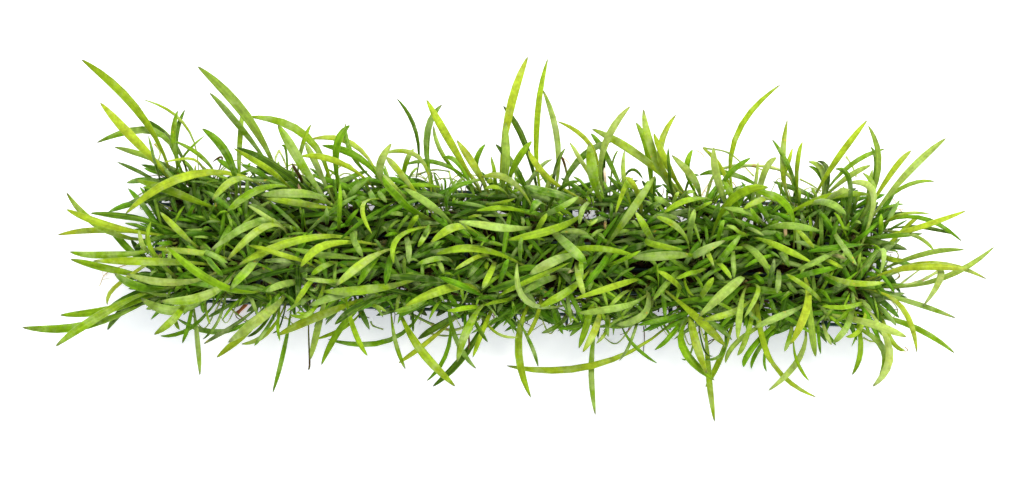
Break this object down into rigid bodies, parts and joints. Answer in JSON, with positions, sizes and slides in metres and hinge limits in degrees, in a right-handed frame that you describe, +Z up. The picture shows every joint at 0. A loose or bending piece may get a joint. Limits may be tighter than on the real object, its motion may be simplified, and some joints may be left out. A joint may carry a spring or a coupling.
{
  "type": "lilaeopsis brasiliensis turf strip on a planting lattice",
  "caption": "Strip of grass-like aquarium plant turf: narrow splayed leaf blades rooted in the cells of a plastic lattice on a root felt with a flat underside.",
  "frame": {"origin": "middle of the flat underside of the root felt", "axes": "+X along the strip, +Y towards the back, +Z up out of the turf"},
  "size_m": [0.2122, 0.0784, 0.0325],
  "materials": {
    "leaf": "fresh green leaf blades, satin, paler and yellower in the sun-side leaves",
    "lattice_plastic": "dark teal-green moulded plastic, satin",
    "felt": "dark brown felt of roots, coir and peat, matte",
    "runner": "pale green runner, satin",
    "root": "cream root, matte",
    "dead_stem": "rust-brown dead stem, matte"
  },
  "bodies": {
    "root": {"fibre_felt": "felt", "lattice": "lattice_plastic", "plant_a01": "leaf", "plant_c01": "leaf", "plant_e01": "leaf", "plant_b02": "leaf", "plant_d02": "leaf", "plant_a03": "leaf", "plant_c03": "leaf", "plant_e03": "leaf", "plant_b04": "leaf", "plant_d04": "leaf", "plant_a05": "leaf", "plant_c05": "leaf", "plant_e05": "leaf", "plant_b06": "leaf", "plant_d06": "leaf", "plant_a07": "leaf", "plant_c07": "leaf", "plant_e07": "leaf", "plant_b08": "leaf", "plant_d08": "leaf", "plant_a09": "leaf", "plant_c09": "leaf", "plant_e09": "leaf", "plant_b10": "leaf", "plant_d10": "leaf", "plant_a11": "leaf", "plant_c11": "leaf", "plant_e11": "leaf", "plant_b12": "leaf", "plant_d12": "leaf", "plant_a13": "leaf", "plant_c13": "leaf", "plant_e13": "leaf", "plant_b14": "leaf", "plant_d14": "leaf", "runner_back": "runner", "runner_right": "runner", "runner_front": "runner", "root_left": "root", "root_back": "root", "root_right": "root", "dead_stem": "dead_stem"}
  },
  "joints": []
}
